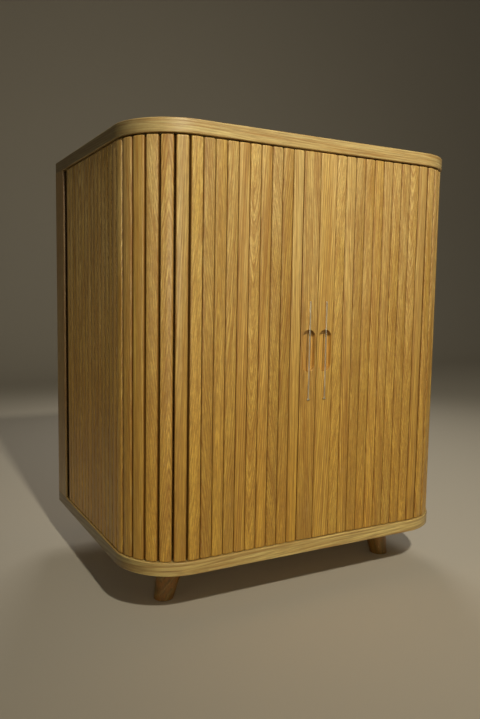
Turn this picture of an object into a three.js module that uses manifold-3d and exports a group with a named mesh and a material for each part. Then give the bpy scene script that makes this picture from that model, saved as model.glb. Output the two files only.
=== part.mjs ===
// Tambour door cabinet: an oak cupboard on four splayed feet. Its two slatted doors run in
// grooves round the front corners and along the sides, and hide behind the inner case.
// Millimetres, +Z up, the front faces -Y, and the origin is on the floor under the middle.
import * as THREE from "three";
import { mergeVertices } from "three/addons/utils/BufferGeometryUtils.js";
import Module from "manifold-3d";

const wasm = await Module();
wasm.setup();

// Carcass sizes
const openingHeight = 817;
const boardThickness = 27;
const boardOverhang = 2.5;
const boardEase = 1.5;
const stileDepth = 74;
const stileClearance = 2.5;
const rearMargin = 42;
const panelRebate = 8;
const backPanelThickness = 6;
const backPanelInset = 1;
const innerClearance = 69.4;
const innerSideThickness = 18;
const innerDepth = 400;
const innerBackThickness = 12;
const innerSetback = 52;
const shelfThickness = 20;
const shelfSetback = 20;
const shelfCount = 2;
const cleatSection = 15;
const cleatSetback = 30;
const fitGap = 0.3;

// Foot sizes
const footHeight = 96.5;
const footInset = 131;
const footSetback = 127;
const footTopRadius = 30;
const footSoleRadius = 21;
const footSplay = THREE.MathUtils.degToRad(13.5);
const spigotRadius = 10;
const spigotLength = 16;

// Door sizes
const slatPitch = 25;
const slatThickness = 16.7;
const slatGap = 2.2;
const slatShoulder = 3.5;
const leadWidth = 41;
const clothThickness = 0.8;
const clothGap = 0.9;
const flatCount = 9;
const cornerCount = 7;
const cornerStartShare = 0.4;
const sideCount = 15;
const turnCount = 2;
const travelCount = flatCount;
const topGap = 2.5;
const bottomGap = 0.9;

// Groove and tongue sizes
const tongueThickness = 4;
const tongueLength = 7;
const tongueInset = 4;
const grooveClearance = 0.5;
const grooveEnd = 10;

// Pull and finger recess sizes
const recessWidth = 31;
const recessHeight = 88;
const recessDepth = 11;
const pullHeight = 207;
const pullWidth = 2.8;
const pullDepth = 3.2;
const pullFootWidth = 6.5;
const pullFootHeight = 2.5;
const pullPinRadius = 1.2;
const pullPinLength = 8;
const pullPinInset = 8;

// Mesh fineness and the overrun of every cut
const arcSegments = 14;
const shoulderSegments = 3;
const footSegments = 28;
const pinSegments = 12;
const overrun = 2;
const mergeTolerance = 0.0015;

// The track is the line on the cloth behind the slats: along the front, round the corner,
// along the side, round the rear turn and back along the rear. The corner starts a share of
// a slat past the flat slats.
const quarterTurn = Math.PI / 2;
const curtainThickness = slatThickness + clothThickness;
const frontRun = leadWidth + (flatCount + cornerStartShare) * slatPitch;
const cornerRun = (cornerCount - cornerStartShare) * slatPitch;
const cornerRadius = cornerRun / quarterTurn;
const sideRun = sideCount * slatPitch;
const turnRun = turnCount * slatPitch;
const turnRadius = turnRun / quarterTurn;
const travel = travelCount * slatPitch;

// Places worked out from the sizes above
const boardRadius = cornerRadius + curtainThickness + boardOverhang;
const coveRadius = turnRadius + curtainThickness + stileClearance;
const cabinetDepth = boardRadius + sideRun + coveRadius + rearMargin;
const halfWidth = frontRun + boardRadius;
const frontY = -cabinetDepth / 2;
const rearY = cabinetDepth / 2;
const cornerY = frontY + boardRadius;
const sideX = frontRun + cornerRadius;
const turnX = sideX - turnRadius;
const turnY = cornerY + sideRun;
const tailX = turnX - (travel - turnRun);
const floorTop = footHeight + boardThickness;
const ceiling = floorTop + openingHeight;
const slatBottom = floorTop + bottomGap;
const slatHeight = openingHeight - topGap - bottomGap;
const pullMiddle = slatBottom + slatHeight / 2;
const innerFront = frontY + innerSetback;
const innerRear = innerFront + innerDepth;
const innerOuter = sideX - innerClearance;
const innerHalfWidth = innerOuter - innerSideThickness;

const oak = { color: 0xc79a5b, roughness: 0.55, metalness: 0 };
const innerOak = { color: 0xb98c50, roughness: 0.6, metalness: 0 };
const satinMetal = { color: 0xb9a88a, roughness: 0.3, metalness: 1 };

const cabinet = new THREE.Group();
cabinet.name = "tambour_door_cabinet";

// Adds a closed geometry to the cabinet as one named piece.
function addPiece(name, geometry, finish) {
  const mesh = new THREE.Mesh(geometry, new THREE.MeshStandardMaterial(finish));
  mesh.name = name;
  cabinet.add(mesh);
  return mesh;
}

// A closed three.js geometry as a manifold solid.
function solidOf(geometry) {
  const bare = geometry.clone().deleteAttribute("normal").deleteAttribute("uv");
  const merged = mergeVertices(bare, mergeTolerance);
  return new wasm.Manifold(
    new wasm.Mesh({
      numProp: 3,
      vertProperties: merged.attributes.position.array,
      triVerts: new Uint32Array(merged.index.array),
    }),
  );
}

// A manifold solid as a three.js geometry.
function geometryOf(solid) {
  const mesh = solid.getMesh();
  const geometry = new THREE.BufferGeometry();
  geometry.setAttribute("position", new THREE.BufferAttribute(mesh.vertProperties, 3));
  geometry.setIndex(new THREE.BufferAttribute(mesh.triVerts, 1));
  geometry.computeVertexNormals();
  return geometry;
}

function cutFrom(base, tools) {
  return geometryOf(tools.reduce((left, tool) => left.subtract(solidOf(tool)), solidOf(base)));
}

function joined(pieces) {
  return geometryOf(pieces.map(solidOf).reduce((whole, piece) => whole.add(piece)));
}

// A block between two corners.
function block(low, high) {
  const size = high.map((value, i) => value - low[i]);
  const middle = high.map((value, i) => (value + low[i]) / 2);
  return new THREE.BoxGeometry(...size).translate(...middle);
}

// An outline in plan, raised from one height to another.
function raised(outline, from, to, curveSegments = arcSegments) {
  const settings = { depth: to - from, bevelEnabled: false, curveSegments };
  return new THREE.ExtrudeGeometry(outline, settings).translate(0, 0, from);
}

// An upright cylinder or cone standing on a height.
function upright(topRadius, lowRadius, height, from, segments) {
  return new THREE.CylinderGeometry(topRadius, lowRadius, height, segments)
    .rotateX(quarterTurn)
    .translate(0, 0, from + height / 2);
}

// A plan outline that follows the door track at two distances outside the cloth, from the
// end of the left door's rear run to the end of the right door's.
function trackBand(outer, inner, endX) {
  const band = new THREE.Shape();
  const rearLine = turnY + turnRadius;
  band.moveTo(-endX, rearLine + outer);
  band.absarc(-turnX, turnY, turnRadius + outer, quarterTurn, 2 * quarterTurn, false);
  band.absarc(-frontRun, cornerY, cornerRadius + outer, 2 * quarterTurn, 3 * quarterTurn, false);
  band.absarc(frontRun, cornerY, cornerRadius + outer, 3 * quarterTurn, 4 * quarterTurn, false);
  band.absarc(turnX, turnY, turnRadius + outer, 0, quarterTurn, false);
  band.lineTo(endX, rearLine + outer);
  band.lineTo(endX, rearLine + inner);
  band.absarc(turnX, turnY, turnRadius + inner, quarterTurn, 0, true);
  band.absarc(frontRun, cornerY, cornerRadius + inner, 4 * quarterTurn, 3 * quarterTurn, true);
  band.absarc(-frontRun, cornerY, cornerRadius + inner, 3 * quarterTurn, 2 * quarterTurn, true);
  band.absarc(-turnX, turnY, turnRadius + inner, 2 * quarterTurn, quarterTurn, true);
  band.lineTo(-endX, rearLine + inner);
  return band;
}

// Top and bottom boards: square at the rear, round at the front corners, grooved for the doors.
function boardOutline() {
  const outline = new THREE.Shape();
  outline.moveTo(halfWidth, rearY);
  outline.lineTo(-halfWidth, rearY);
  outline.absarc(-frontRun, cornerY, boardRadius, 2 * quarterTurn, 3 * quarterTurn, false);
  outline.absarc(frontRun, cornerY, boardRadius, 3 * quarterTurn, 4 * quarterTurn, false);
  return outline;
}

function board(from) {
  return new THREE.ExtrudeGeometry(boardOutline(), {
    depth: boardThickness - 2 * boardEase,
    curveSegments: arcSegments,
    bevelThickness: boardEase,
    bevelSize: boardEase,
    bevelOffset: -boardEase,
    bevelSegments: 1,
  }).translate(0, 0, from + boardEase);
}

const tongueMiddle = clothThickness + tongueInset + tongueThickness / 2;
const grooveHalf = tongueThickness / 2 + grooveClearance;
const grooveDepth = tongueLength + grooveClearance;

function groove(from, to) {
  const band = trackBand(tongueMiddle + grooveHalf, tongueMiddle - grooveHalf, tailX - grooveEnd);
  return raised(band, from, to);
}

const footX = halfWidth - footInset;
const footPlaces = [
  ["front_left_foot", -1, frontY + footSetback],
  ["front_right_foot", 1, frontY + footSetback],
  ["rear_left_foot", -1, rearY - footSetback],
  ["rear_right_foot", 1, rearY - footSetback],
];

const footBores = footPlaces.map(([, side, y]) =>
  upright(
    spigotRadius + fitGap,
    spigotRadius + fitGap,
    spigotLength + fitGap + overrun,
    footHeight - overrun,
    footSegments,
  ).translate(side * footX, y, 0),
);

const topCuts = [groove(ceiling - overrun, ceiling + grooveDepth)];
const bottomCuts = [groove(floorTop - grooveDepth, floorTop + overrun), ...footBores];
addPiece("top_board", cutFrom(board(ceiling), topCuts), oak);
addPiece("bottom_board", cutFrom(board(footHeight), bottomCuts), oak);

// Feet: round, tapered and leaning out sideways, each with a spigot bored into the bottom board.
for (const [name, side, y] of footPlaces) {
  const cone = upright(footTopRadius, footSoleRadius, footHeight, 0, footSegments);
  const spigot = upright(
    spigotRadius,
    spigotRadius,
    spigotLength + footSoleRadius,
    footHeight - footSoleRadius,
    footSegments,
  );
  const place = cone.attributes.position;
  for (let i = 0; i < place.count; i++) {
    const lean = (footHeight - place.getZ(i)) * Math.tan(footSplay);
    place.setX(i, place.getX(i) + side * lean);
  }
  addPiece(name, joined([cone, spigot]), oak).position.set(side * footX, y, 0);
}

// Rear stiles: square corner posts with a cove that the doors turn in, and a rebate for the
// back panel.
const stileFront = rearY - stileDepth;
const coveAngle = Math.asin((stileFront - turnY) / coveRadius);
const panelFront = rearY - backPanelInset - backPanelThickness;

function stileOutline(side) {
  const outline = new THREE.Shape();
  const end = side > 0 ? coveAngle : 2 * quarterTurn - coveAngle;
  outline.moveTo(side * halfWidth, stileFront);
  outline.lineTo(side * halfWidth, rearY);
  outline.lineTo(side * (turnX + panelRebate), rearY);
  outline.lineTo(side * (turnX + panelRebate), panelFront - fitGap);
  outline.lineTo(side * turnX, panelFront - fitGap);
  outline.absarc(side * turnX, turnY, coveRadius, quarterTurn, end, side > 0);
  return outline;
}

addPiece("left_rear_stile", raised(stileOutline(-1), floorTop, ceiling), oak);
addPiece("right_rear_stile", raised(stileOutline(1), floorTop, ceiling), oak);

const panelHalf = turnX + panelRebate - fitGap;
addPiece(
  "back_panel",
  block([-panelHalf, panelFront, floorTop], [panelHalf, panelFront + backPanelThickness, ceiling]),
  innerOak,
);

// Inner case: two sides and a back that keep the doors' run clear of what is stored.
addPiece(
  "left_inner_side",
  block([-innerOuter, innerFront, floorTop], [-innerHalfWidth, innerRear, ceiling]),
  innerOak,
);
addPiece(
  "right_inner_side",
  block([innerHalfWidth, innerFront, floorTop], [innerOuter, innerRear, ceiling]),
  innerOak,
);
addPiece(
  "inner_back",
  block(
    [-innerHalfWidth, innerRear - innerBackThickness, floorTop],
    [innerHalfWidth, innerRear, ceiling],
  ),
  innerOak,
);

// Shelves, each on two cleats fixed to the inner sides.
const shelfFront = innerFront + shelfSetback;
const shelfRear = innerRear - innerBackThickness - fitGap;
const shelfHalf = innerHalfWidth - fitGap;
const shelfSpace = (openingHeight - shelfCount * shelfThickness) / (shelfCount + 1);

["lower", "upper"].forEach((level, i) => {
  const underside = floorTop + (i + 1) * shelfSpace + i * shelfThickness;
  const cleatLow = underside - cleatSection;
  const cleatFront = shelfFront + cleatSetback;
  const cleatRear = shelfRear - cleatSetback;
  const cleatInner = innerHalfWidth - cleatSection;
  addPiece(
    `${level}_shelf`,
    block([-shelfHalf, shelfFront, underside], [shelfHalf, shelfRear, underside + shelfThickness]),
    innerOak,
  );
  addPiece(
    `${level}_left_cleat`,
    block([-innerHalfWidth, cleatFront, cleatLow], [-cleatInner, cleatRear, underside]),
    innerOak,
  );
  addPiece(
    `${level}_right_cleat`,
    block([cleatInner, cleatFront, cleatLow], [innerHalfWidth, cleatRear, underside]),
    innerOak,
  );
});

// The plan of a strip of slats glued to the cloth: the cloth is at y = 0 and the slats' faces
// are at the curtain's thickness on the -y side.
function stripOutline(count, pitch) {
  const outline = new THREE.Shape();
  const half = (count * pitch) / 2;
  const face = -curtainThickness + slatShoulder;
  outline.moveTo(-half + clothGap / 2, 0);
  for (let i = 0; i < count; i++) {
    const low = -half + i * pitch + slatGap / 2;
    const high = low + pitch - slatGap;
    if (i === 0) outline.lineTo(-half + clothGap / 2, -clothThickness);
    outline.lineTo(low, -clothThickness);
    outline.absarc(low + slatShoulder, face, slatShoulder, 2 * quarterTurn, 3 * quarterTurn);
    outline.absarc(high - slatShoulder, face, slatShoulder, 3 * quarterTurn, 4 * quarterTurn);
    outline.lineTo(high, -clothThickness);
  }
  outline.lineTo(half - clothGap / 2, -clothThickness);
  outline.lineTo(half - clothGap / 2, 0);
  return outline;
}

function strip(count, pitch = slatPitch) {
  return raised(
    stripOutline(count, pitch),
    slatBottom,
    slatBottom + slatHeight,
    shoulderSegments,
  );
}

// A tongue through the length of a strip, which stands out at both ends into the grooves.
function tongue(width) {
  const middle = -tongueMiddle;
  return block(
    [-width / 2, middle - tongueThickness / 2, floorTop - tongueLength],
    [width / 2, middle + tongueThickness / 2, ceiling + tongueLength],
  );
}

// Where a distance along the track lies, and which way the track heads there.
function trackAt(distance) {
  if (distance <= frontRun) {
    return { x: distance, y: cornerY - cornerRadius, heading: 0 };
  }
  const pastFront = distance - frontRun;
  if (pastFront <= cornerRun) {
    const heading = pastFront / cornerRadius;
    const x = frontRun + cornerRadius * Math.sin(heading);
    return { x, y: cornerY - cornerRadius * Math.cos(heading), heading };
  }
  return { x: sideX, y: cornerY + pastFront - cornerRun, heading: quarterTurn };
}

// Places a strip with its middle at a distance along the track of the left or right door.
function addToTrack(name, geometry, side, distance) {
  const place = trackAt(distance);
  const mesh = addPiece(name, geometry, oak);
  mesh.position.set(side * place.x, place.y, 0);
  mesh.rotation.z = side * place.heading;
}

// The lead slat: wider, with a finger recess behind the pull and a bore for each of its pins.
function leadSlat() {
  const recess = new THREE.Shape();
  const straight = (recessHeight - recessWidth) / 2;
  recess.absarc(0, straight, recessWidth / 2, 0, 2 * quarterTurn, false);
  recess.absarc(0, -straight, recessWidth / 2, 2 * quarterTurn, 4 * quarterTurn, false);
  const settings = { depth: recessDepth + overrun, bevelEnabled: false };
  const pocket = new THREE.ExtrudeGeometry(recess, { ...settings, curveSegments: pinSegments })
    .rotateX(quarterTurn)
    .translate(0, -curtainThickness + recessDepth, pullMiddle);
  const body = joined([strip(1, leadWidth), tongue(leadWidth - slatGap)]);
  return cutFrom(body, [pocket, ...pullPins(fitGap, overrun)]);
}

// The two pins that hold a pull, reaching into the slat and standing out of its face.
function pullPins(clearance, proud) {
  const reach = pullPinLength + clearance + proud;
  return [-1, 1].map((end) =>
    new THREE.CylinderGeometry(
      pullPinRadius + clearance,
      pullPinRadius + clearance,
      reach,
      pinSegments,
    ).translate(
      0,
      -curtainThickness - proud + reach / 2,
      pullMiddle + end * (pullHeight / 2 - pullPinInset),
    ),
  );
}

function pull() {
  const low = pullMiddle - pullHeight / 2;
  const face = -curtainThickness;
  const bar = block(
    [-pullWidth / 2, face - pullDepth, low],
    [pullWidth / 2, face, low + pullHeight],
  );
  const foot = block(
    [-pullFootWidth / 2, face - pullDepth, low],
    [pullFootWidth / 2, face, low + pullFootHeight],
  );
  return joined([bar, foot, ...pullPins(0, pullDepth / 2)]);
}

// Each door: the lead slat and its pull, single slats where the door bends at either end of
// its travel, and strips of slats where it stays straight.
const sideStripCount = sideCount - travelCount;
const frontPairCount = flatCount - cornerCount;
const tailCount = travelCount - turnCount;

for (const [name, side] of [["left", -1], ["right", 1]]) {
  addToTrack(`${name}_lead_slat`, leadSlat(), side, leadWidth / 2);
  const handle = addPiece(`${name}_pull`, pull(), satinMetal);
  handle.position.set((side * leadWidth) / 2, cornerY - cornerRadius, 0);
  let along = leadWidth;
  const lay = (label, count, geometry) => {
    addToTrack(`${name}_${label}`, geometry, side, along + (count * slatPitch) / 2);
    along += count * slatPitch;
  };
  for (let i = 1; i <= cornerCount; i++) lay(`front_slat_${i}`, 1, strip(1));
  lay("front_pair", frontPairCount, strip(frontPairCount));
  for (let i = 1; i <= cornerCount; i++) lay(`corner_slat_${i}`, 1, strip(1));
  const sideTongue = tongue(sideStripCount * slatPitch - slatGap);
  lay("side_strip", sideStripCount, joined([strip(sideStripCount), sideTongue]));
  for (let i = 1; i <= turnCount; i++) lay(`rear_slat_${i}`, 1, strip(1));
  lay("tail_strip", tailCount, strip(tailCount));
}

export default cabinet;
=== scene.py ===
"""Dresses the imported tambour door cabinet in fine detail.

Every slat, board, post, panel, shelf, foot and pull is modelled again on its CAD body, in oak,
cloth and satin metal. Metres, +Z up, the front faces -Y, the origin is on the floor.
"""

import logging
import math
import random
from dataclasses import dataclass, field, replace
from enum import Enum
from typing import Any, Callable, Iterable, Sequence

import bmesh
import bpy
from bmesh.types import BMesh, BMEdge, BMFace, BMVert
from mathutils import Matrix, Vector


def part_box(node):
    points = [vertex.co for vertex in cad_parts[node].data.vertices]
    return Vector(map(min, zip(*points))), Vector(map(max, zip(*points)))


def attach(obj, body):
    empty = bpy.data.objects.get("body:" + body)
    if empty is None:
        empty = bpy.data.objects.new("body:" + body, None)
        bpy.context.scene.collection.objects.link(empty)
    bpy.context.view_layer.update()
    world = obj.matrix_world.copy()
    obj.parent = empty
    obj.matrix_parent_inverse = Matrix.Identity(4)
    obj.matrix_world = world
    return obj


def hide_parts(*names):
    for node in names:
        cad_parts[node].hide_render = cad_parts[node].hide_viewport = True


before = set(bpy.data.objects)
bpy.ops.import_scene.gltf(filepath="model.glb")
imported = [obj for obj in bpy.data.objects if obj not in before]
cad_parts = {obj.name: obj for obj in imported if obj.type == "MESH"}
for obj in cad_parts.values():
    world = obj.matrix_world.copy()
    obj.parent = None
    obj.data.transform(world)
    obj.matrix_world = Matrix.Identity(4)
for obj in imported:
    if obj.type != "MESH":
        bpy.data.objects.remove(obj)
log = logging.getLogger("cabinet")

Span = tuple[float, float]
Triple = tuple[float, float, float]
Chart = Callable[[Vector], Triple]

MM = 0.001
QUARTER = math.pi / 2

# How near two points are when they count as one, in an outline, a plane, a cut and a carving.
TOUCH = 0.02 * MM
PLANE = 0.001 * MM
WELD = 0.005 * MM

# How far a cutting solid sticks out of what it cuts.
OVERRUN = 1 * MM

# How much of a face's normal lies along an axis when the face tilts, leans, lies or stands that way.
TILTED = 0.3
LEANING = 0.5
LYING = 0.9
SQUARE = 0.98

# How many flat pieces stand for a round one.
SHOULDER_STEPS = 6
TURN_STEPS = 10
COVE_STEPS = 18
CORNER_STEPS = 24
BOARD_STEPS = 40

# Edges that meet at less than the first angle are shaded as round, and at more than the second
# they are eased.
ROUND_ANGLE = math.radians(38)
SHARP_ANGLE = math.radians(50)


class Slot(Enum):
    """The material slots that the pieces are made in."""

    DOOR = "door_oak"
    CARCASS = "carcass_oak"
    INNER = "inner_oak"
    FOOT = "foot_oak"
    METAL = "pull_metal"


class Side(Enum):
    """The two doors, with the sign of their X."""

    LEFT = -1
    RIGHT = 1

    @property
    def word(self) -> str:
        """The side's name as the nodes spell it."""
        return self.name.lower()


class Grain(Enum):
    """The axes that run across, into and along a board."""

    UPRIGHT = (0, 1, 2)
    UPRIGHT_SIDE = (1, 0, 2)
    WIDE = (1, 2, 0)
    DEEP = (0, 2, 1)

    def chart(self, co: Vector) -> Triple:
        """A point as distances across, into and along the board."""
        across, deep, along = self.value
        return (co[across], co[deep], co[along])


# Shader building


def math_node(operation: str, swapped: bool = False) -> Callable[..., "Signal"]:
    """Writes a method that adds one Math node.

    Args:
        operation: The node's operation.
        swapped: Whether the signal itself comes second.

    Returns:
        The method.
    """

    def method(signal: "Signal", other: Any = 0.0) -> "Signal":
        """Adds the node on the signal and another value."""
        values = (other, signal) if swapped else (signal, other)
        return signal.recipe.add("ShaderNodeMath", {"operation": operation}, dict(enumerate(values)))

    return method


@dataclass
class Signal:
    """One output of a shader node, on which Python arithmetic adds Math nodes."""

    recipe: "Recipe"
    socket: bpy.types.NodeSocket

    __add__ = __radd__ = math_node("ADD")
    __sub__ = math_node("SUBTRACT")
    __rsub__ = math_node("SUBTRACT", swapped=True)
    __mul__ = __rmul__ = math_node("MULTIPLY")
    __truediv__ = math_node("DIVIDE")
    root = math_node("SQRT")
    fraction = math_node("FRACT")
    whole = math_node("FLOOR")

    def step(self, span: Span) -> "Signal":
        """A smooth rise from 0 to 1 over a span."""
        inputs = {"Value": self, "From Min": span[0], "From Max": span[1]}
        return self.recipe.add("ShaderNodeMapRange", {"interpolation_type": "SMOOTHSTEP"}, inputs)

    def hump(self, rise: Span, fall: Span) -> "Signal":
        """A smooth rise over one span and a fall over another."""
        return self.step(rise) * (1.0 - self.step(fall))

    def arch(self) -> "Signal":
        """A bow that is 0 at each whole number and 1 halfway."""
        half = self.fraction() - 0.5
        return 1.0 - half * half * 4.0

    def lift(self, base: float, gain: float) -> "Signal":
        """A base value plus a gain times the signal."""
        return base + gain * self


@dataclass(frozen=True)
class Layer:
    """A noise: its waves per metre, its octaves, the span in which it shows and its strength."""

    scale: Triple
    detail: float = 2.0
    rough: float = 0.5
    span: Span = (0.0, 1.0)
    strength: float = 1.0


@dataclass
class Recipe:
    """A material under construction."""

    name: str

    def __post_init__(self) -> None:
        """Starts an empty node material."""
        self.material = bpy.data.materials.new(self.name)
        self.material.use_nodes = True
        self.tree = self.material.node_tree
        self.tree.nodes.clear()
        self.output = self.tree.nodes.new("ShaderNodeOutputMaterial")

    def add(self, kind: str, settings: dict[str, Any], inputs: dict[Any, Any], out: Any = 0) -> Signal:
        """Adds one node.

        Args:
            kind: The node's type.
            settings: Its own settings.
            inputs: Values or links for its sockets, by name or number.
            out: The output that is wanted.

        Returns:
            That output.
        """
        node = self.tree.nodes.new(kind)
        for key, value in settings.items():
            setattr(node, key, value)
        for key, value in inputs.items():
            if isinstance(value, Signal):
                self.tree.links.new(value.socket, node.inputs[key])
            else:
                node.inputs[key].default_value = value
        return Signal(self, node.outputs[out])

    def place(self) -> Signal:
        """The point in the piece's own coordinates."""
        return self.add("ShaderNodeTexCoord", {}, {}, "Object")

    def stored(self, name: str) -> Signal:
        """A vector that is stored on the mesh."""
        return self.add("ShaderNodeAttribute", {"attribute_name": name}, {}, "Vector")

    def axis(self, vector: Signal, index: int) -> Signal:
        """One coordinate of a vector."""
        return self.add("ShaderNodeSeparateXYZ", {}, {0: vector}, index)

    def noise(self, vector: Signal, layer: Layer) -> Signal:
        """Smooth noise from 0 to 1.

        Args:
            vector: The coordinates in metres.
            layer: The noise's waves and octaves.

        Returns:
            The noise value.
        """
        waves = self.add("ShaderNodeVectorMath", {"operation": "MULTIPLY"}, {0: vector, 1: layer.scale})
        inputs = {"Vector": waves, "Scale": 1.0, "Detail": layer.detail, "Roughness": layer.rough}
        return self.add("ShaderNodeTexNoise", {"noise_dimensions": "3D"}, inputs)

    def marks(self, vector: Signal, layer: Layer) -> Signal:
        """A layer's strength where its noise peaks, and 0 elsewhere."""
        return self.noise(vector, layer).step(layer.span) * layer.strength

    def mix(self, factor: Any, first: Any, second: Any, mode: str = "MIX") -> Signal:
        """Mixes two colours.

        Args:
            factor: How much of the second colour is taken.
            first: A colour or a signal.
            second: A colour or a signal.
            mode: The mixing mode.

        Returns:
            The mixed colour.
        """
        solid = [c if isinstance(c, Signal) else (*c, 1.0) for c in (first, second)]
        settings = {"data_type": "RGBA", "blend_type": mode, "clamp_result": False}
        return self.add("ShaderNodeMix", settings, {0: factor, 6: solid[0], 7: solid[1]}, 2)

    def bump(self, height: Signal, distance: float) -> Signal:
        """A normal bumped by a relief from 0 to 1, so many metres deep."""
        return self.add("ShaderNodeBump", {}, {"Height": height, "Distance": distance})

    def surface(self, inputs: dict[str, Any]) -> bpy.types.Material:
        """Ends the material in one Principled shader.

        Args:
            inputs: Values or links for the shader's sockets.

        Returns:
            The finished material.
        """
        shader = self.add("ShaderNodeBsdfPrincipled", {}, inputs)
        self.tree.links.new(shader.socket, self.output.inputs["Surface"])
        return self.material


@dataclass(frozen=True)
class Oak:
    """Oak under clear matt lacquer, read from each piece's own grain coordinates.

    A year's ring runs from 0 to 1: its early wood is dark and open, its late wood pale and dense.
    """

    name: str
    pale: Triple = (0.66, 0.372, 0.046)
    # Painted sheen: with height the colour turns towards the next one, so the door oak is paler and greyer
    # towards the top, where the key lamp's sheen falls. On the carcass oak the same mix makes the top board
    # darker than the bottom board.
    top_sheen_and_tone: Triple = (0.70, 0.525, 0.200)
    deep: Triple = (0.27, 0.105, 0.012)
    ochre: Triple = (0.52, 0.325, 0.055)
    dense: Triple = (0.80, 0.58, 0.20)
    pore: Triple = (0.16, 0.075, 0.02)
    ray: Triple = (0.70, 0.50, 0.22)
    # The heights, in metres, over which the painted sheen rises.
    top_sheen_rise: Span = (0.15, 1.05)

    ring: float = 4.8 * MM
    taper: float = 0.13
    drift: Layer = Layer((6, 6, 5), 1, strength=2.5)
    sway: Layer = Layer((34, 34, 4.6), strength=1.3)
    ripple: Layer = Layer((170, 170, 22), strength=0.45)
    early: tuple[Span, Span] = ((0, 0.07), (0.12, 0.62))
    late: tuple[Span, Span] = ((0.62, 0.80), (0.88, 1))
    yearly: float = 0.65
    figure: float = 0.70
    late_strength: float = 0.14

    band: Layer = Layer((0.30, 0, 0), span=(0.44, 0.60), strength=0.36)
    patch: Layer = Layer((11, 11, 2.4), span=(0.32, 0.70), strength=0.8)
    streak: Layer = Layer((230, 230, 9), 3, 0.7, (0.43, 0.60), 0.36)
    dash: Layer = Layer((2.2, 60, 34), 2, 0.65, (0.44, 0.58), 0.36)
    fleck: Layer = Layer((320, 320, 110), 2, 0.75, strength=0.78)
    fibre: Layer = Layer((900, 900, 16), 2, 0.6, strength=0.30)
    pores: Layer = Layer((1900, 1900, 60), 1, span=(0.57, 0.70))
    rays: Layer = Layer((300, 620, 75), 1, span=(0.66, 0.76), strength=0.16)
    pore_shade: Span = (0.10, 0.26)
    level: float = 0.52
    streak_shade: float = 0.18

    roughness: float = 0.35
    swing: float = 0.10
    specular: float = 0.45
    coat: float = 0.30
    coat_roughness: float = 0.32
    relief: float = 0.22 * MM
    pore_relief: Span = (0.35, 0.45)
    fine_relief: float = 0.22

    def build(self) -> bpy.types.Material:
        """Makes the material.

        Returns:
            The oak, with rings, fibres, pores and rays in colour, roughness and bump.
        """
        r = Recipe(self.name)
        grain, tint = r.stored("grain"), r.stored("tint")
        across, depth, along = (r.axis(grain, i) for i in range(3))
        shade, warmth, strength = (r.axis(tint, i) for i in range(3))

        phase = ((across * across + depth * depth).root() + along * self.taper) / self.ring
        for layer in (self.drift, self.sway, self.ripple):
            phase = phase + r.noise(grain, layer) * layer.strength
        age = phase.fraction()
        year = r.add("ShaderNodeTexWhiteNoise", {"noise_dimensions": "1D"}, {"W": phase.whole()})
        early = age.hump(*self.early)
        ring = early * year.lift(1.0 - self.yearly, self.yearly)
        waves = {"W": phase * self.band.scale[0], "Scale": 1.0, "Detail": self.band.detail}
        band = r.add("ShaderNodeTexNoise", {"noise_dimensions": "1D"}, waves).step(self.band.span)
        flow = r.add("ShaderNodeCombineXYZ", {}, {0: phase, 1: across, 2: along})
        streak, fleck, fibre = (r.noise(grain, it) for it in (self.streak, self.fleck, self.fibre))
        pores = r.marks(grain, self.pores)

        # Painted sheen: the colour turns towards the top colour with height alone.
        body = r.mix(r.axis(r.place(), 2).step(self.top_sheen_rise), self.pale, self.top_sheen_and_tone)
        for factor, colour in (
            (r.marks(grain, self.patch), self.ochre),
            (warmth, self.deep),
            (band * strength * self.band.strength, self.deep),
            (ring * strength * self.figure, self.deep),
            (age.hump(*self.late) * strength * self.late_strength, self.dense),
            (streak.step(self.streak.span) * self.streak.strength, self.deep),
            (r.marks(flow, self.dash), self.deep),
            (pores * early.lift(*self.pore_shade), self.pore),
            (r.marks(grain, self.rays), self.ray),
        ):
            body = r.mix(factor, body, colour)
        level = fibre.lift(self.level, self.fibre.strength) + self.streak_shade * (1.0 - streak)
        level = (level + self.fleck.strength * fleck) * shade
        grey = r.add("ShaderNodeCombineColor", {}, {0: level, 1: level, 2: level})
        body = r.mix(1.0, body, grey, "MULTIPLY")

        relief = 1.0 - pores * early.lift(*self.pore_relief) + (fibre - ring) * self.fine_relief
        return r.surface(
            {
                "Base Color": body,
                "Roughness": (early + fibre).lift(self.roughness, self.swing),
                "Specular IOR Level": self.specular,
                "Coat Weight": self.coat,
                "Coat Roughness": self.coat_roughness,
                "Normal": r.bump(relief, self.relief),
            }
        )


@dataclass(frozen=True)
class SatinMetal:
    """Fine metal with a warm tone, brushed along its length."""

    name: str = "satin_metal"
    colour: Triple = (0.94, 0.86, 0.68)
    scratched: Triple = (0.62, 0.54, 0.38)
    brush: Layer = Layer((5200, 5200, 90), 2, 0.6, strength=0.5)
    haze: Layer = Layer((60, 60, 25))
    roughness: float = 0.27
    swing: float = 0.10
    relief: float = 0.03 * MM

    def build(self) -> bpy.types.Material:
        """Makes the material.

        Returns:
            The metal.
        """
        r = Recipe(self.name)
        place = r.place()
        brush, haze = r.noise(place, self.brush), r.noise(place, self.haze)
        return r.surface(
            {
                "Base Color": r.mix(brush * self.brush.strength, self.colour, self.scratched),
                "Metallic": 1.0,
                "Roughness": (haze + brush).lift(self.roughness, self.swing),
                "Normal": r.bump(brush, self.relief),
            }
        )


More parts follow.
